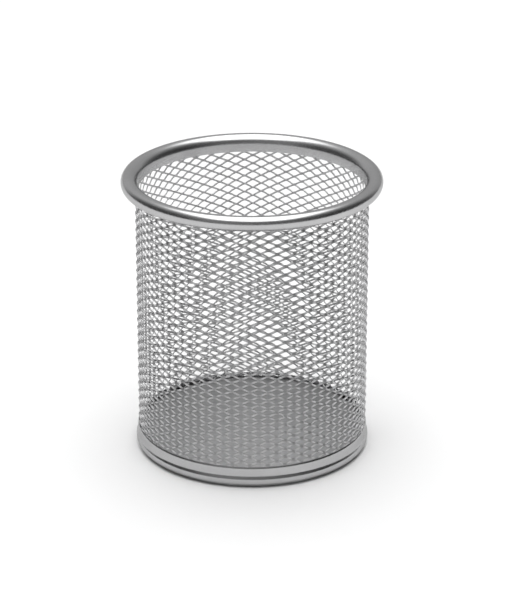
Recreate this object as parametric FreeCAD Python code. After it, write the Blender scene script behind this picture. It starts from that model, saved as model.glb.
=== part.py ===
import FreeCAD, Part
import math
import os

# A round pen holder: a tube of expanded steel mesh, with a rolled strip round its mouth and a pressed
# plate held in a rolled ring at its foot.
# Millimetres, +Z up. The origin is the centre of the foot on the table, and the cup is centred on +Z.
# Each parts/NODE.step is one separately made piece.

# overall size
HEIGHT = 100.0
RIM_R = 45.0

# mesh tube
MESH_R_OUT = 40.0
MESH_R_IN = 39.5
MESH_BOTTOM_Z = 1.6
MESH_TOP_Z = 96.85

# rolled strip round the mouth
STRIP_T = 0.4
COLLAR_R = 39.08
COLLAR_BOTTOM_Z = 94.2
BEAD_R = 2.55
CURL_END_DEG = -161.0

# pressed plate
PLATE_T = 0.6
PLATE_R = 39.46
PLATE_TOP_Z = 6.4
PLATE_CORNER_R = 1.4
SKIRT_BOTTOM_Z = 1.0

# rolled ring at the foot
RING_T = 0.45
RING_WALL_R = 40.5
RING_TOP_Z = 7.75
LIP_R = 1.4
LIP_DEG = 40.0
SHOULDER_TOP_Z = 4.85
SHOULDER_BOTTOM_Z = 2.85
BULGE_R = 41.05
BULGE_Z = 2.35
UNDER_BEND_R = 1.3
UNDERCUT_DEG = 37.0
HEEL_R = 0.7
FOOT_INNER_R = 36.5


def section_point(r, z):
    """A point of a section, at radius r and height z."""
    return FreeCAD.Vector(r, 0, z)


def on_circle(r, z, radius, degrees):
    """The point at an angle on a circle of the section centred at (r, z)."""
    angle = math.radians(degrees)
    return section_point(r + radius * math.cos(angle), z + radius * math.sin(angle))


def arc(r, z, radius, start, end):
    """An arc of the section centred at (r, z), from one angle in degrees to another."""
    first = on_circle(r, z, radius, start)
    middle = on_circle(r, z, radius, (start + end) / 2)
    return Part.Arc(first, middle, on_circle(r, z, radius, end)).toShape()


def joined(edges):
    """The edges of a closed section in order, with a straight line wherever one stops short of the next."""
    outline = []
    for edge, following in zip(edges, edges[1:] + edges[:1]):
        start = edge.lastVertex(True).Point
        end = following.firstVertex(True).Point
        outline.append(edge)
        if start.distanceToPoint(end) > 1e-6:
            outline.append(Part.makeLine(start, end))
    return outline


def turned(edges):
    """The solid of revolution about +Z of a closed section."""
    section = Part.Face(Part.Wire(joined(edges)))
    return section.revolve(FreeCAD.Vector(0, 0, 0), FreeCAD.Vector(0, 0, 1), 360)


def make_mesh_wall():
    """The room the expanded sheet takes up: a plain tube from the sheet's inner to its outer face."""
    foot = FreeCAD.Vector(0, 0, MESH_BOTTOM_Z)
    length = MESH_TOP_Z - MESH_BOTTOM_Z
    return Part.makeCylinder(MESH_R_OUT, length, foot).cut(Part.makeCylinder(MESH_R_IN, length, foot))


def make_top_rim():
    """The rolled strip: a collar inside the mesh that curls out over its edge into a hollow bead."""
    bead_r = RIM_R - BEAD_R
    bead_z = HEIGHT - BEAD_R
    over_r = bead_r - COLLAR_R
    over_z = HEIGHT - over_r
    return turned([
        Part.makeLine(section_point(COLLAR_R, COLLAR_BOTTOM_Z), section_point(COLLAR_R, over_z)),
        arc(bead_r, over_z, over_r, 180, 90),
        arc(bead_r, bead_z, BEAD_R, 90, CURL_END_DEG),
        arc(bead_r, bead_z, BEAD_R - STRIP_T, CURL_END_DEG, 90),
        arc(bead_r, over_z, over_r - STRIP_T, 90, 180),
        Part.makeLine(
            section_point(COLLAR_R + STRIP_T, over_z), section_point(COLLAR_R + STRIP_T, COLLAR_BOTTOM_Z)
        ),
    ])


def make_base_plate():
    """The floor of the cup: a pressed disc with a rounded edge and a skirt inside the mesh."""
    corner_r = PLATE_R - PLATE_CORNER_R
    corner_z = PLATE_TOP_Z - PLATE_CORNER_R
    inner_r = PLATE_CORNER_R - PLATE_T
    return turned([
        Part.makeLine(section_point(0, PLATE_TOP_Z - PLATE_T), section_point(0, PLATE_TOP_Z)),
        arc(corner_r, corner_z, PLATE_CORNER_R, 90, 0),
        Part.makeLine(section_point(PLATE_R, SKIRT_BOTTOM_Z), section_point(PLATE_R - PLATE_T, SKIRT_BOTTOM_Z)),
        arc(corner_r, corner_z, inner_r, 0, 90),
    ])


def make_base_ring():
    """The rolled ring: a band with its upper edge bent in to the mesh, a flare, a bulge and a turned-in foot."""
    step_r = BULGE_R - RING_WALL_R
    step_z = SHOULDER_TOP_Z - SHOULDER_BOTTOM_Z
    bend_r = (step_r ** 2 + step_z ** 2) / (4 * step_r)
    bend = math.degrees(math.asin(step_z / 2 / bend_r))
    inner_r = RING_WALL_R - RING_T
    lip_z = RING_TOP_Z - LIP_R * math.sin(math.radians(LIP_DEG))
    under_r = BULGE_R - UNDER_BEND_R
    under_end = on_circle(under_r, BULGE_Z, UNDER_BEND_R, -UNDERCUT_DEG)
    heel_start = on_circle(0, HEEL_R, HEEL_R, -UNDERCUT_DEG)
    heel_r = under_end.x - (under_end.z - heel_start.z) * math.tan(math.radians(UNDERCUT_DEG)) - heel_start.x
    return turned([
        arc(RING_WALL_R - LIP_R, lip_z, LIP_R, LIP_DEG, 0),
        arc(RING_WALL_R + bend_r, SHOULDER_TOP_Z, bend_r, 180, 180 + bend),
        arc(BULGE_R - bend_r, SHOULDER_BOTTOM_Z, bend_r, bend, 0),
        arc(under_r, BULGE_Z, UNDER_BEND_R, 0, -UNDERCUT_DEG),
        arc(heel_r, HEEL_R, HEEL_R, -UNDERCUT_DEG, -90),
        Part.makeLine(section_point(FOOT_INNER_R, 0), section_point(FOOT_INNER_R, RING_T)),
        arc(heel_r, HEEL_R, HEEL_R - RING_T, -90, -UNDERCUT_DEG),
        arc(under_r, BULGE_Z, UNDER_BEND_R - RING_T, -UNDERCUT_DEG, 0),
        arc(BULGE_R - bend_r, SHOULDER_BOTTOM_Z, bend_r - RING_T, 0, bend),
        arc(RING_WALL_R + bend_r, SHOULDER_TOP_Z, bend_r + RING_T, 180 + bend, 180),
        Part.makeLine(section_point(inner_r, SHOULDER_TOP_Z), section_point(inner_r, RING_TOP_Z)),
    ])


os.makedirs("parts", exist_ok=True)
make_mesh_wall().exportStep("parts/mesh_wall.step")
make_top_rim().exportStep("parts/top_rim.step")
make_base_plate().exportStep("parts/base_plate.step")
make_base_ring().exportStep("parts/base_ring.step")
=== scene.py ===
import math

import bmesh
import bpy
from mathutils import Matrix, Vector


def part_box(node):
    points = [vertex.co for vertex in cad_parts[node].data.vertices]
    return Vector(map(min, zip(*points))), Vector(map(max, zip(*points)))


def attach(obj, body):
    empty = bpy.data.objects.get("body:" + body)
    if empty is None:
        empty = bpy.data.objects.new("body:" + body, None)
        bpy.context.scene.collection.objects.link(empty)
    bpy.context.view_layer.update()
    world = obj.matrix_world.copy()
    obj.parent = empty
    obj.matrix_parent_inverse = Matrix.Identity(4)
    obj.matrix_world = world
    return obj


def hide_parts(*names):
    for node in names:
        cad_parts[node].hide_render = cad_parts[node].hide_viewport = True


bl_info = {
    "name": "Mesh Pen Holder",
    "version": (1, 0, 0),
    "blender": (4, 5, 0),
    "location": "3D View > Sidebar > Pen Holder",
    "description": "Builds a round pen holder of expanded steel mesh and the studio it stands in",
    "category": "Object",
}

# Metres, +Z up. The origin is the centre of the foot on the table.
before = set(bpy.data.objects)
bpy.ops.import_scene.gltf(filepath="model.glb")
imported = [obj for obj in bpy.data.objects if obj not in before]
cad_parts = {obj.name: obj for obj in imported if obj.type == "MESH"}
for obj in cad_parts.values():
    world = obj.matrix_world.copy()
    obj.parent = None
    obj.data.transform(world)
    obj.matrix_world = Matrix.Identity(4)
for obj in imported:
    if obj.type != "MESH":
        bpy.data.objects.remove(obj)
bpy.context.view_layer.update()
MM = 0.001
TURN = 2 * math.pi
RIM_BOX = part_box("top_rim")
PLATE_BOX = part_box("base_plate")
RING_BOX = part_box("base_ring")

# How finely turned pieces are cut, the angle past which an edge of theirs stays sharp, and the radius
# below which a point of a section is on the axis.
SEGMENTS = 288
ARC_STEP = math.radians(8)
SHARP_EDGE = math.radians(40)
ON_AXIS = 0.001 * MM

# A strand has a section at each of these shares of its length. It leaves one bond above its middle and
# reaches the next below its middle, by this share of its own width. The greater the power, the closer to
# the bonds it twists. Corners of a section are given across its face, then through the sheet.
STRAND_STATIONS = (0, 0.15, 0.5, 0.85, 1)
STRAND_CORNERS = ((-1, -1), (1, -1), (1, 1), (-1, 1))
BOND_REACH = 0.48
LEAN_POWER = 4
MERGE_DISTANCE = 0.002 * MM

# Rows laid below the lowest bond, and beyond those that the wall needs. The trim takes off the spare ones.
ROWS_BELOW = 1
SPARE_ROWS = 4

# How fine each finish's specks are, as a noise scale, and how strongly they roughen its surface.
MESH_GRAIN, MESH_TEXTURE = 2600.0, 0.25
ROLLED_GRAIN, ROLLED_TEXTURE = 1500.0, 0.12
PLATE_GRAIN, PLATE_TEXTURE = 1200.0, 0.30
SPECK_DEPTH = 0.02 * MM

# Every silver has clouds a little darker and lighter than its own tone, and a roughness that varies
# between two shares of the one given. Worn edges come in between two values of pointiness, with at most
# this share of a lighter tone. The tint dims reflections at a grazing angle.
CLOUD_SCALE = 70.0
CLOUD_DARK, CLOUD_LIGHT = 0.95, 1.04
SMOOTHEST, ROUGHEST = 0.88, 1.14
WORN_FROM, WORN_TO = 0.52, 0.60
WORN_LIGHT, WORN_SHARE = 1.25, 0.35
GRAZING_TINT = 0.70

# The room's ceiling, walls and left side each change in brightness between two cosines of the angle from
# straight up, back or left. Its ceiling and its side screens fade between two values of how far aside a
# direction points, where 1 is straight left or right.
CEILING_FADE = (0.71, 0.94)
WALLS_FADE = (-0.6, 0.9)
LEFT_FADE = (-0.8, 0.8)
CEILING_SIDES = (0.30, 0.62)
SCREEN_SIDES = (0.55, 0.92)

# The floor is paper. These are its size, the scale and darkest share of its faint clouds, and its roughness.
FLOOR_SIZE = 8.0
PAPER_SCALE, PAPER_DARK, PAPER_ROUGHNESS = 4.0, 0.995, 0.9


def length(name, description, default):
    """A size property in metres."""
    return bpy.props.FloatProperty(
        name=name, description=description, default=default, min=0.0,
        subtype="DISTANCE", unit="LENGTH", precision=5,
    )


def angle(name, description, degrees):
    """An angle property, given in degrees."""
    return bpy.props.FloatProperty(
        name=name, description=description, default=math.radians(degrees), subtype="ANGLE"
    )


def colour(name, description, default):
    """A colour property."""
    return bpy.props.FloatVectorProperty(
        name=name, description=description, default=default, min=0.0, max=1.0, size=3, subtype="COLOR"
    )


def share(name, description, default):
    """A property from 0 to 1."""
    return bpy.props.FloatProperty(
        name=name, description=description, default=default, min=0.0, max=1.0, subtype="FACTOR"
    )


class PENHOLDER_PG_mesh_wall(bpy.types.PropertyGroup):
    """Sizes of the expanded sheet that is rolled into the wall."""

    radius: length("Radius", "From the cup's axis to the middle of the sheet", 39.75 * MM)
    strand_width: length("Strand Width", "Width of one strand across its flat face", 0.58 * MM)
    sheet: length("Sheet Thickness", "Thickness of the steel sheet", 0.34 * MM)
    openings: bpy.props.FloatProperty(
        name="Openings Per Turn", description="How many openings fit side by side round the wall",
        default=41.13, min=8.0,
    )
    row_pitch: length("Row Pitch", "Height from one opening to the one above it", 3.03 * MM)
    bond_lean: angle("Bond Lean", "How far each bond's face leans back from upright", 40.0)
    strand_lean: angle("Strand Lean", "How far a strand's face leans back halfway between two bonds", 8.0)
    bow: share("Strand Bow", "How far a strand flattens out before it meets a bond", 1.0)
    row_drop: length("Row Drop", "How far the rows fall per radian round the wall", 1.30 * MM)
    bond_angle: angle("Bond Angle", "Where round the wall the bond that sets the pattern is", 269.0)
    bond_height: length("Bond Height", "How high the bond that sets the pattern is", 23.47 * MM)
    lowest_bond: length("Lowest Bond", "Bonds below this height are left out, inside the ring", 4.6 * MM)
    highest_bond: length("Highest Bond", "Bonds above this height are left out, inside the rim", 95.1 * MM)
    lap: length("Lap Offset", "How far out one end of the sheet lies over its other end", 0.35 * MM)


class PENHOLDER_PG_top_rim(bpy.types.PropertyGroup):
    """Sizes of the rolled strip round the mouth."""

    radius: length("Radius", "Outside radius of the bead", RIM_BOX[1][0])
    top: length("Top", "Height of the top of the bead", RIM_BOX[1][2])
    bead: length("Bead Radius", "Radius of the bead's round section", 2.55 * MM)
    collar_radius: length("Collar Radius", "Inside radius of the collar", 39.08 * MM)
    collar_foot: length("Collar Foot", "Height of the collar's lower edge", RIM_BOX[0][2])
    strip: length("Strip Thickness", "Thickness of the rolled strip", 0.4 * MM)
    curl_end: angle("Curl End", "Where round its section the bead's curl ends", -161.0)


class PENHOLDER_PG_base_plate(bpy.types.PropertyGroup):
    """Sizes of the pressed floor of the cup."""

    radius: length("Radius", "Outside radius of the skirt", 39.46 * MM)
    top: length("Top", "Height of the floor's upper face", PLATE_BOX[1][2])
    corner: length("Corner Radius", "Radius of the bend between floor and skirt", 1.4 * MM)
    thickness: length("Thickness", "Thickness of the pressed steel", 0.6 * MM)
    skirt_foot: length("Skirt Foot", "Height of the skirt's lower edge", PLATE_BOX[0][2])


class PENHOLDER_PG_base_ring(bpy.types.PropertyGroup):
    """Sizes of the rolled ring round the foot."""

    wall_radius: length("Wall Radius", "Outside radius of the upright band", 40.50 * MM)
    top: length("Top", "Height of the band's upper edge", RING_BOX[1][2])
    shoulder_top: length("Shoulder Top", "Height where the band starts to flare", 4.85 * MM)
    shoulder_foot: length("Shoulder Foot", "Height where the flare ends", 2.85 * MM)
    bulge_radius: length("Bulge Radius", "Outside radius of the bulge below the shoulder", 41.05 * MM)
    bulge_height: length("Bulge Height", "Height where the bulge is widest", 2.35 * MM)
    corner: length("Corner Radius", "Radius of the bend below the bulge", 1.3 * MM)
    undercut: angle("Undercut", "How far the bend turns under before it runs straight to the foot", 37.0)
    heel: length("Heel Radius", "Radius of the bend where the undercut meets the foot", 0.7 * MM)
    foot_radius: length("Foot Radius", "Inside radius of the flat foot", 36.5 * MM)
    thickness: length("Thickness", "Thickness of the rolled strip", 0.45 * MM)
    lip: length("Lip Radius", "Radius of the bend that turns the band's upper edge in", 1.4 * MM)
    lip_turn: angle("Lip Turn", "How far the band's upper edge is bent in", 40.0)


class PENHOLDER_PG_finish(bpy.types.PropertyGroup):
    """Colours and gloss of the silver finishes."""

    rim_colour: colour("Rim Colour", "Silver of the rolled rim and foot ring", (0.50, 0.50, 0.505))
    rim_roughness: share("Rim Roughness", "Roughness of the rolled rim and foot ring", 0.24)
    mesh_colour: colour("Mesh Colour", "Silver of the expanded mesh", (0.53, 0.53, 0.535))
    mesh_roughness: share("Mesh Roughness", "Roughness of the expanded mesh", 0.42)
    plate_colour: colour("Plate Colour", "Silver of the pressed floor", (0.52, 0.52, 0.525))
    plate_roughness: share("Plate Roughness", "Roughness of the pressed floor", 0.42)


class PENHOLDER_PG_studio(bpy.types.PropertyGroup):
    """The floor, the soft room that lights it, and the camera."""

    floor_colour: colour("Floor Colour", "Colour of the floor", (0.86, 0.86, 0.86))
    ceiling: bpy.props.FloatProperty(
        name="Ceiling", description="Brightness of the room overhead", default=3.45, min=0.0
    )
    back_wall: share("Back Wall", "Brightness of the room behind the cup", 0.50)
    front_wall: share("Front Wall", "Brightness of the room in front of the cup", 0.14)
    left_lift: share("Left Lift", "How much brighter the left of the room is than the right", 0.14)
    side_screens: share("Side Screens", "Share of the walls' brightness kept straight left and right", 0.20)
    camera_distance: length("Camera Distance", "Level distance from the cup's axis to the camera", 0.850)
    camera_height: length("Camera Height", "Height of the camera above the table", 0.40228)
    camera_aside: length("Camera Aside", "How far right of the cup's axis the camera stands", 1.05 * MM)
    camera_pitch: angle("Camera Pitch", "How far the camera looks down", 22.338)
    camera_lens: bpy.props.FloatProperty(
        name="Camera Lens", description="Focal length on a 36 mm sensor", default=158.0, min=1.0,
        unit="CAMERA",
    )


def bend(r, z, radius, start, end):
    """Points of a section along an arc centred at (r, z), from one angle to another."""
    count = max(2, math.ceil(abs(end - start) / ARC_STEP))
    turns = [start + (end - start) * i / count for i in range(count + 1)]
    return [(r + radius * math.cos(a), z + radius * math.sin(a)) for a in turns]


def turned(name, outline):
    """A closed mesh made by turning a closed outline of (radius, height) points about the cup's axis."""
    made = bmesh.new()
    rings = []
    for r, z in outline:
        if r < ON_AXIS:
            rings.append([made.verts.new((0, 0, z))] * SEGMENTS)
        else:
            spots = [TURN * i / SEGMENTS for i in range(SEGMENTS)]
            rings.append([made.verts.new((r * math.cos(a), r * math.sin(a), z)) for a in spots])
    for ring, following in zip(rings, rings[1:] + rings[:1]):
        if ring[0] is ring[1] and following[0] is following[1]:
            continue
        for i in range(SEGMENTS):
            j = (i + 1) % SEGMENTS
            corners = list(dict.fromkeys((ring[i], ring[j], following[j], following[i])))
            made.faces.new(corners)
    bmesh.ops.recalc_face_normals(made, faces=made.faces)
    for face in made.faces:
        face.smooth = True
    for edge in made.edges:
        if edge.calc_face_angle(0) > SHARP_EDGE:
            edge.smooth = False
    mesh = bpy.data.meshes.new(name)
    made.to_mesh(mesh)
    made.free()
    piece = bpy.data.objects.new(name, mesh)
    bpy.context.scene.collection.objects.link(piece)
    return piece


def add_node(tree, kind, inputs=None, **settings):
    """A node with its settings, and its inputs set to values or linked from other nodes' outputs."""
    node = tree.nodes.new(kind)
    for key, value in settings.items():
        setattr(node, key, value)
    for key, value in (inputs or {}).items():
        if isinstance(value, bpy.types.NodeSocket):
            tree.links.new(value, node.inputs[key])
        else:
            node.inputs[key].default_value = value
    return node


def maths(tree, operation, *values):
    """The output of a Math node."""
    return add_node(tree, "ShaderNodeMath", dict(enumerate(values)), operation=operation).outputs[0]


def shaded(tone, times):
    """A colour made lighter or darker, as a colour socket takes it."""
    return (*[min(c * times, 1) for c in tone], 1)


def silver(name, tone, roughness, grain, texture):
    """Silver finish on steel: faint clouds, a fine grain in its gloss and surface, lighter worn edges."""
    material = bpy.data.materials.new(name)
    material.use_nodes = True
    tree = material.node_tree
    tree.nodes.clear()
    place = add_node(tree, "ShaderNodeTexCoord").outputs["Object"]
    clouds = add_node(tree, "ShaderNodeTexNoise", {"Vector": place, "Scale": CLOUD_SCALE, "Detail": 3.0})
    specks = add_node(tree, "ShaderNodeTexNoise", {
        "Vector": place, "Scale": grain, "Detail": 4.0, "Roughness": 0.6,
    })
    worn = add_node(tree, "ShaderNodeMapRange", {
        "Value": add_node(tree, "ShaderNodeNewGeometry").outputs["Pointiness"],
        "From Min": WORN_FROM, "From Max": WORN_TO, "To Min": 0.0, "To Max": WORN_SHARE,
    }).outputs[0]
    cloudy = add_node(tree, "ShaderNodeValToRGB", {"Fac": clouds.outputs["Fac"]})
    cloudy.color_ramp.elements[0].position = 0.3
    cloudy.color_ramp.elements[0].color = shaded(tone, CLOUD_DARK)
    cloudy.color_ramp.elements[1].position = 0.7
    cloudy.color_ramp.elements[1].color = shaded(tone, CLOUD_LIGHT)
    toned = add_node(tree, "ShaderNodeMix", {
        "Factor": worn, 6: cloudy.outputs["Color"], 7: shaded(tone, WORN_LIGHT),
    }, data_type="RGBA")
    gloss = add_node(tree, "ShaderNodeMapRange", {
        "Value": specks.outputs["Fac"], "From Min": 0.3, "From Max": 0.7,
        "To Min": roughness * SMOOTHEST, "To Max": roughness * ROUGHEST,
    }).outputs[0]
    surface = add_node(tree, "ShaderNodeBump", {
        "Height": specks.outputs["Fac"], "Strength": texture, "Distance": SPECK_DEPTH,
    })
    shader = add_node(tree, "ShaderNodeBsdfPrincipled", {
        "Base Color": toned.outputs[2], "Metallic": 1.0, "Roughness": gloss, "Normal": surface.outputs[0],
        "Specular Tint": (GRAZING_TINT, GRAZING_TINT, GRAZING_TINT, 1),
    })
    add_node(tree, "ShaderNodeOutputMaterial", {"Surface": shader.outputs[0]})
    return material


def put_in_place(piece, node):
    """Rides the piece with the cup, in place of its CAD node."""
    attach(piece, "root")
    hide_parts(node)


def strand_pair(sizes):
    """The two strands that rise from one bond, left and right, laid flat: X round the wall, Y up, Z out."""
    run = TURN * sizes.radius / sizes.openings / 2
    rise = sizes.row_pitch / 2
    half_bond = Vector((0, math.cos(sizes.bond_lean), -math.sin(sizes.bond_lean)))
    half_bond = half_bond * sizes.strand_width * BOND_REACH
    made = bmesh.new()
    for side in (-1, 1):
        start = half_bond
        end = Vector((side * run, rise, 0)) - half_bond
        rings = []
        for along in STRAND_STATIONS:
            near_bond = abs(2 * along - 1) ** LEAN_POWER
            lean = sizes.strand_lean + (sizes.bond_lean - sizes.strand_lean) * near_bond
            face = Vector((0, math.sin(lean), math.cos(lean)))
            eased = along - sizes.bow * math.sin(TURN * along) / TURN
            steep = 1 - sizes.bow * math.cos(TURN * along)
            middle = start + Vector((side * run * along, 0, 0))
            middle += Vector((0, end.y - start.y, end.z - start.z)) * eased
            ahead = Vector((side * run, (end.y - start.y) * steep, (end.z - start.z) * steep)).normalized()
            out = (face - ahead * face.dot(ahead)).normalized() * sizes.sheet / 2
            wide = out.cross(ahead).normalized() * sizes.strand_width / 2
            rings.append([made.verts.new(middle + a * wide + b * out) for a, b in STRAND_CORNERS])
        for ring, following in zip(rings, rings[1:]):
            for i in range(len(STRAND_CORNERS)):
                j = (i + 1) % len(STRAND_CORNERS)
                made.faces.new((ring[i], ring[j], following[j], following[i])).smooth = True
                made.edges.get((ring[i], following[i])).smooth = False
        bmesh.ops.recalc_face_normals(made, faces=made.faces)
    pair = bpy.data.meshes.new("strand_pair")
    made.to_mesh(pair)
    made.free()
    return pair


def rolled_sheet_tree():
    """Geometry nodes that repeat the strand pair over a sheet, trim it, and roll it into the wall."""
    tree = bpy.data.node_groups.new("Rolled Expanded Sheet", "GeometryNodeTree")
    tree.interface.new_socket("Strand Pair", in_out="INPUT", socket_type="NodeSocketGeometry")
    for name in (
        "Radius", "Opening Width", "Row Pitch", "First Angle", "First Row",
        "Row Drop", "Lowest", "Highest", "Lap",
    ):
        tree.interface.new_socket(name, in_out="INPUT", socket_type="NodeSocketFloat")
    for name in ("Columns", "Rows"):
        tree.interface.new_socket(name, in_out="INPUT", socket_type="NodeSocketInt")
    tree.interface.new_socket("Material", in_out="INPUT", socket_type="NodeSocketMaterial")
    tree.interface.new_socket("Wall", in_out="OUTPUT", socket_type="NodeSocketGeometry")
    given = tree.nodes.new("NodeGroupInput").outputs
    width, pitch = given["Opening Width"], given["Row Pitch"]
    size_x = maths(tree, "MULTIPLY", width, maths(tree, "SUBTRACT", given["Columns"], 1.0))
    size_y = maths(tree, "MULTIPLY", pitch, maths(tree, "SUBTRACT", given["Rows"], 1.0))
    grid = add_node(tree, "GeometryNodeMeshGrid", {
        "Size X": size_x, "Size Y": size_y, "Vertices X": given["Columns"], "Vertices Y": given["Rows"],
    }).outputs["Mesh"]
    bonds = tree.nodes.new("GeometryNodeJoinGeometry")
    for half in (0.0, 0.5):
        x = maths(tree, "MULTIPLY_ADD", size_x, 0.5, maths(tree, "MULTIPLY", width, half))
        y = maths(tree, "MULTIPLY_ADD", size_y, 0.5, maths(tree, "MULTIPLY", pitch, half))
        corner = add_node(tree, "ShaderNodeCombineXYZ", {
            "X": x, "Y": maths(tree, "ADD", y, given["First Row"]),
        })
        moved = add_node(tree, "GeometryNodeTransform", {"Geometry": grid, "Translation": corner.outputs[0]})
        tree.links.new(moved.outputs[0], bonds.inputs[0])
    position = tree.nodes.new("GeometryNodeInputPosition").outputs[0]
    spot = add_node(tree, "ShaderNodeSeparateXYZ", {"Vector": position}).outputs
    turn = maths(tree, "DIVIDE", spot["X"], given["Radius"])
    height = maths(tree, "SUBTRACT", spot["Y"], maths(tree, "MULTIPLY", turn, given["Row Drop"]))
    too_low = maths(tree, "LESS_THAN", height, given["Lowest"])
    too_high = maths(tree, "GREATER_THAN", height, given["Highest"])
    kept = add_node(tree, "GeometryNodeDeleteGeometry", {
        "Geometry": bonds.outputs[0], "Selection": maths(tree, "ADD", too_low, too_high),
    }, domain="POINT")
    laid = add_node(tree, "GeometryNodeInstanceOnPoints", {
        "Points": kept.outputs[0], "Instance": given["Strand Pair"],
    })
    real = add_node(tree, "GeometryNodeRealizeInstances", {"Geometry": laid.outputs[0]})
    whole = add_node(tree, "GeometryNodeMergeByDistance", {
        "Geometry": real.outputs[0], "Distance": MERGE_DISTANCE,
    })
    round_sheet = maths(tree, "SUBTRACT", maths(tree, "DIVIDE", turn, TURN), 0.5)
    lifted = maths(tree, "MULTIPLY", given["Lap"], round_sheet)
    out = maths(tree, "ADD", maths(tree, "ADD", given["Radius"], spot["Z"]), lifted)
    at = maths(tree, "ADD", turn, given["First Angle"])
    rolled = add_node(tree, "ShaderNodeCombineXYZ", {
        "X": maths(tree, "MULTIPLY", out, maths(tree, "COSINE", at)),
        "Y": maths(tree, "MULTIPLY", out, maths(tree, "SINE", at)),
        "Z": height,
    })
    wall = add_node(tree, "GeometryNodeSetPosition", {
        "Geometry": whole.outputs[0], "Position": rolled.outputs[0],
    })
    clad = add_node(tree, "GeometryNodeSetMaterial", {
        "Geometry": wall.outputs[0], "Material": given["Material"],
    })
    tree.links.new(clad.outputs[0], tree.nodes.new("NodeGroupOutput").inputs[0])
    return tree


class PENHOLDER_OT_mesh_wall(bpy.types.Operator):
    """Make the wall: expanded steel sheet, rolled into a tube and lapped at one side"""

    bl_idname = "penholder.mesh_wall"
    bl_label = "Mesh Wall"

    def execute(self, context):
        sizes, finish = context.scene.penholder_mesh_wall, context.scene.penholder_finish
        opening = TURN / sizes.openings
        columns = math.ceil(sizes.openings)
        halves_back = math.floor(sizes.bond_angle / (opening / 2))
        first_angle = sizes.bond_angle - halves_back * opening / 2
        row = sizes.bond_height + sizes.row_drop * (sizes.bond_angle - first_angle)
        row += sizes.row_pitch / 2 * (halves_back % 2)
        rows_below = math.ceil((row - sizes.lowest_bond) / sizes.row_pitch) + ROWS_BELOW
        tallest = sizes.highest_bond - sizes.lowest_bond + TURN * sizes.row_drop
        rows = math.ceil(tallest / sizes.row_pitch) + SPARE_ROWS
        material = silver(
            "mesh_silver", finish.mesh_colour, finish.mesh_roughness, MESH_GRAIN, MESH_TEXTURE
        )
        piece = bpy.data.objects.new("mesh_wall_expanded", strand_pair(sizes))
        context.scene.collection.objects.link(piece)
        tree = rolled_sheet_tree()
        modifier = piece.modifiers.new("Rolled Expanded Sheet", "NODES")
        modifier.node_group = tree
        values = {
            "Radius": sizes.radius, "Opening Width": opening * sizes.radius, "Row Pitch": sizes.row_pitch,
            "First Angle": first_angle, "First Row": row - rows_below * sizes.row_pitch,
            "Row Drop": sizes.row_drop, "Lowest": sizes.lowest_bond, "Highest": sizes.highest_bond,
            "Lap": sizes.lap, "Columns": columns, "Rows": rows, "Material": material,
        }
        for socket in tree.interface.items_tree:
            if socket.item_type == "SOCKET" and socket.name in values:
                modifier[socket.identifier] = values[socket.name]
        context.view_layer.update()
        seen = piece.evaluated_get(context.evaluated_depsgraph_get())
        rolled = bpy.data.meshes.new_from_object(seen)
        piece.modifiers.remove(modifier)
        piece.data = rolled
        piece.data.name = "mesh_wall_expanded"
        put_in_place(piece, "mesh_wall")
        return {"FINISHED"}


class PENHOLDER_OT_top_rim(bpy.types.Operator):
    """Make the rim: a collar inside the mesh that curls out into a hollow bead"""

    bl_idname = "penholder.top_rim"
    bl_label = "Top Rim"

    def execute(self, context):
        sizes, finish = context.scene.penholder_top_rim, context.scene.penholder_finish
        half, quarter = math.pi, math.pi / 2
        bead_r, bead_z = sizes.radius - sizes.bead, sizes.top - sizes.bead
        over = bead_r - sizes.collar_radius
        over_z = sizes.top - over
        outline = [(sizes.collar_radius, sizes.collar_foot)]
        outline += bend(bead_r, over_z, over, half, quarter)
        outline += bend(bead_r, bead_z, sizes.bead, quarter, sizes.curl_end)[1:]
        outline += bend(bead_r, bead_z, sizes.bead - sizes.strip, sizes.curl_end, quarter)
        outline += bend(bead_r, over_z, over - sizes.strip, quarter, half)[1:]
        outline += [(sizes.collar_radius + sizes.strip, sizes.collar_foot)]
        piece = turned("top_rim_rolled", outline)
        piece.data.materials.append(silver(
            "rim_silver", finish.rim_colour, finish.rim_roughness, ROLLED_GRAIN, ROLLED_TEXTURE
        ))
        put_in_place(piece, "top_rim")
        return {"FINISHED"}


class PENHOLDER_OT_base_plate(bpy.types.Operator):
    """Make the floor: a pressed disc with a rounded edge and a skirt inside the mesh"""

    bl_idname = "penholder.base_plate"
    bl_label = "Base Plate"

    def execute(self, context):
        sizes, finish = context.scene.penholder_base_plate, context.scene.penholder_finish
        quarter = math.pi / 2
        corner_r, corner_z = sizes.radius - sizes.corner, sizes.top - sizes.corner
        flats = [0, 0.25, 0.5, 0.75, 0.92]
        outline = [(corner_r * f, sizes.top) for f in flats]
        outline += bend(corner_r, corner_z, sizes.corner, quarter, 0)
        outline += [(sizes.radius, sizes.skirt_foot), (sizes.radius - sizes.thickness, sizes.skirt_foot)]
        outline += bend(corner_r, corner_z, sizes.corner - sizes.thickness, 0, quarter)
        outline += [(corner_r * f, sizes.top - sizes.thickness) for f in reversed(flats)]
        piece = turned("base_plate_pressed", outline)
        piece.data.materials.append(silver(
            "plate_silver", finish.plate_colour, finish.plate_roughness, PLATE_GRAIN, PLATE_TEXTURE
        ))
        put_in_place(piece, "base_plate")
        return {"FINISHED"}


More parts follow.
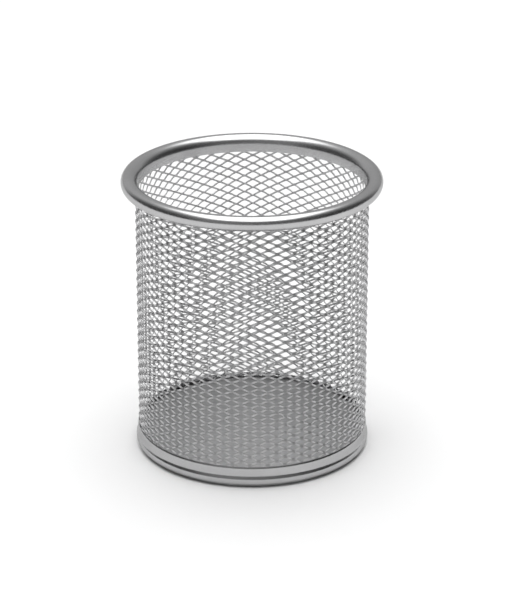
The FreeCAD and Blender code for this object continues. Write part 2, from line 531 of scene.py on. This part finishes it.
class PENHOLDER_OT_base_ring(bpy.types.Operator):
    """Make the foot ring: an upright band, a flare, a bulge, and a foot turned in underneath"""

    bl_idname = "penholder.base_ring"
    bl_label = "Base Ring"

    def execute(self, context):
        sizes, finish = context.scene.penholder_base_ring, context.scene.penholder_finish
        half, quarter = math.pi, math.pi / 2
        step_r = sizes.bulge_radius - sizes.wall_radius
        step_z = sizes.shoulder_top - sizes.shoulder_foot
        flare = (step_r ** 2 + step_z ** 2) / (4 * step_r)
        lean = math.asin(step_z / 2 / flare)
        upper_r, lower_r = sizes.wall_radius + flare, sizes.bulge_radius - flare
        lip_z = sizes.top - sizes.lip * math.sin(sizes.lip_turn)
        bulge_r = sizes.bulge_radius - sizes.corner
        down = math.tan(quarter - sizes.undercut)
        bend_r = bulge_r + sizes.corner * math.cos(sizes.undercut)
        bend_z = sizes.bulge_height - sizes.corner * math.sin(sizes.undercut)
        heel_z = sizes.heel - sizes.heel * math.sin(sizes.undercut)
        heel_r = bend_r - (bend_z - heel_z) / down - sizes.heel * math.cos(sizes.undercut)
        outline = [(sizes.wall_radius - sizes.thickness, sizes.top)]
        outline += bend(sizes.wall_radius - sizes.lip, lip_z, sizes.lip, sizes.lip_turn, 0)
        outline += bend(upper_r, sizes.shoulder_top, flare, half, half + lean)
        outline += bend(lower_r, sizes.shoulder_foot, flare, lean, 0)[1:]
        outline += bend(bulge_r, sizes.bulge_height, sizes.corner, 0, -sizes.undercut)
        outline += bend(heel_r, sizes.heel, sizes.heel, -sizes.undercut, -quarter)
        outline += [(sizes.foot_radius, 0), (sizes.foot_radius, sizes.thickness)]
        outline += bend(heel_r, sizes.heel, sizes.heel - sizes.thickness, -quarter, -sizes.undercut)
        outline += bend(bulge_r, sizes.bulge_height, sizes.corner - sizes.thickness, -sizes.undercut, 0)
        outline += bend(lower_r, sizes.shoulder_foot, flare - sizes.thickness, 0, lean)
        outline += bend(upper_r, sizes.shoulder_top, flare + sizes.thickness, half + lean, half)[1:]
        piece = turned("base_ring_rolled", outline)
        piece.data.materials.append(silver(
            "ring_silver", finish.rim_colour, finish.rim_roughness, ROLLED_GRAIN, ROLLED_TEXTURE
        ))
        put_in_place(piece, "base_ring")
        return {"FINISHED"}


def faded(tree, value, edges, low, high):
    """A number that goes smoothly from low to high as a value passes between two edges."""
    return add_node(tree, "ShaderNodeMapRange", {
        "Value": value, "From Min": edges[0], "From Max": edges[1], "To Min": low, "To Max": high,
    }, interpolation_type="SMOOTHSTEP").outputs[0]


def soft_room(studio):
    """A room of soft light: bright overhead, pale behind and dim in front."""
    world = bpy.data.worlds.new("studio_room")
    world.use_nodes = True
    tree = world.node_tree
    way = add_node(tree, "ShaderNodeTexCoord").outputs["Generated"]

    def lit(towards, edges, low, high):
        """The brightness of the part of the room that lies towards a direction."""
        facing = add_node(tree, "ShaderNodeVectorMath", {0: way, 1: towards}, operation="DOT_PRODUCT")
        return faded(tree, facing.outputs["Value"], edges, low, high)

    aside = maths(tree, "ABSOLUTE", add_node(tree, "ShaderNodeSeparateXYZ", {"Vector": way}).outputs["X"])
    overhead = lit((0, 0, 1), CEILING_FADE, 0.0, studio.ceiling)
    ceiling = maths(tree, "MULTIPLY", faded(tree, aside, CEILING_SIDES, 1.0, 0.0), overhead)
    walls = lit((0, 1, 0), WALLS_FADE, studio.front_wall, studio.back_wall)
    left = lit((-1, 0, 0), LEFT_FADE, 0.0, studio.left_lift)
    screens = faded(tree, aside, SCREEN_SIDES, 1.0, studio.side_screens)
    around = maths(tree, "MULTIPLY", screens, maths(tree, "ADD", walls, left))
    total = maths(tree, "ADD", ceiling, around)
    tree.links.new(total, tree.nodes["Background"].inputs["Strength"])
    tree.nodes["Background"].inputs["Color"].default_value = (1, 1, 1, 1)
    return world


class PENHOLDER_OT_studio(bpy.types.Operator):
    """Make the pale floor, the room of soft light and the camera"""

    bl_idname = "penholder.studio"
    bl_label = "Studio"

    def execute(self, context):
        scene, studio = context.scene, context.scene.penholder_studio
        bpy.ops.mesh.primitive_plane_add(size=FLOOR_SIZE)
        floor = context.active_object
        floor.name = "studio_floor"
        paper = bpy.data.materials.new("studio_paper")
        paper.use_nodes = True
        shader = paper.node_tree.nodes["Principled BSDF"]
        place = add_node(paper.node_tree, "ShaderNodeTexCoord").outputs["Object"]
        grain = add_node(paper.node_tree, "ShaderNodeTexNoise", {"Vector": place, "Scale": PAPER_SCALE})
        tint = add_node(paper.node_tree, "ShaderNodeMix", {
            "Factor": grain.outputs["Fac"],
            6: shaded(studio.floor_colour, 1), 7: shaded(studio.floor_colour, PAPER_DARK),
        }, data_type="RGBA")
        paper.node_tree.links.new(tint.outputs[2], shader.inputs["Base Color"])
        shader.inputs["Roughness"].default_value = PAPER_ROUGHNESS
        floor.data.materials.append(paper)
        scene.world = soft_room(studio)
        scene.view_settings.view_transform = "Standard"
        camera = bpy.data.cameras.new("camera")
        camera.lens = studio.camera_lens
        camera.clip_start, camera.clip_end = 0.05, 20.0
        holder = bpy.data.objects.new("camera", camera)
        holder.location = (studio.camera_aside, -studio.camera_distance, studio.camera_height)
        holder.rotation_euler = (math.pi / 2 - studio.camera_pitch, 0, 0)
        scene.collection.objects.link(holder)
        scene.camera = holder
        return {"FINISHED"}


class PENHOLDER_PT_pieces(bpy.types.Panel):
    """Lists the pieces of the pen holder in the 3D view's sidebar"""

    bl_idname = "PENHOLDER_PT_pieces"
    bl_label = "Pen Holder"
    bl_space_type = "VIEW_3D"
    bl_region_type = "UI"
    bl_category = "Pen Holder"

    def draw(self, context):
        for kind in OPERATORS:
            self.layout.operator(kind.bl_idname)
        for name, kind in SETTINGS.items():
            box = self.layout.box()
            box.label(text=kind.__doc__)
            for key in kind.__annotations__:
                box.prop(getattr(context.scene, name), key)


SETTINGS = {
    "penholder_mesh_wall": PENHOLDER_PG_mesh_wall,
    "penholder_top_rim": PENHOLDER_PG_top_rim,
    "penholder_base_plate": PENHOLDER_PG_base_plate,
    "penholder_base_ring": PENHOLDER_PG_base_ring,
    "penholder_finish": PENHOLDER_PG_finish,
    "penholder_studio": PENHOLDER_PG_studio,
}
OPERATORS = (
    PENHOLDER_OT_mesh_wall,
    PENHOLDER_OT_top_rim,
    PENHOLDER_OT_base_plate,
    PENHOLDER_OT_base_ring,
    PENHOLDER_OT_studio,
)


def register():
    for kind in (*SETTINGS.values(), *OPERATORS, PENHOLDER_PT_pieces):
        bpy.utils.register_class(kind)
    for name, kind in SETTINGS.items():
        setattr(bpy.types.Scene, name, bpy.props.PointerProperty(type=kind))


def unregister():
    for name in SETTINGS:
        delattr(bpy.types.Scene, name)
    for kind in reversed((*SETTINGS.values(), *OPERATORS, PENHOLDER_PT_pieces)):
        bpy.utils.unregister_class(kind)


def main():
    register()
    bpy.ops.penholder.mesh_wall()
    bpy.ops.penholder.top_rim()
    bpy.ops.penholder.base_plate()
    bpy.ops.penholder.base_ring()
    bpy.ops.penholder.studio()


if __name__ == "__main__":
    main()
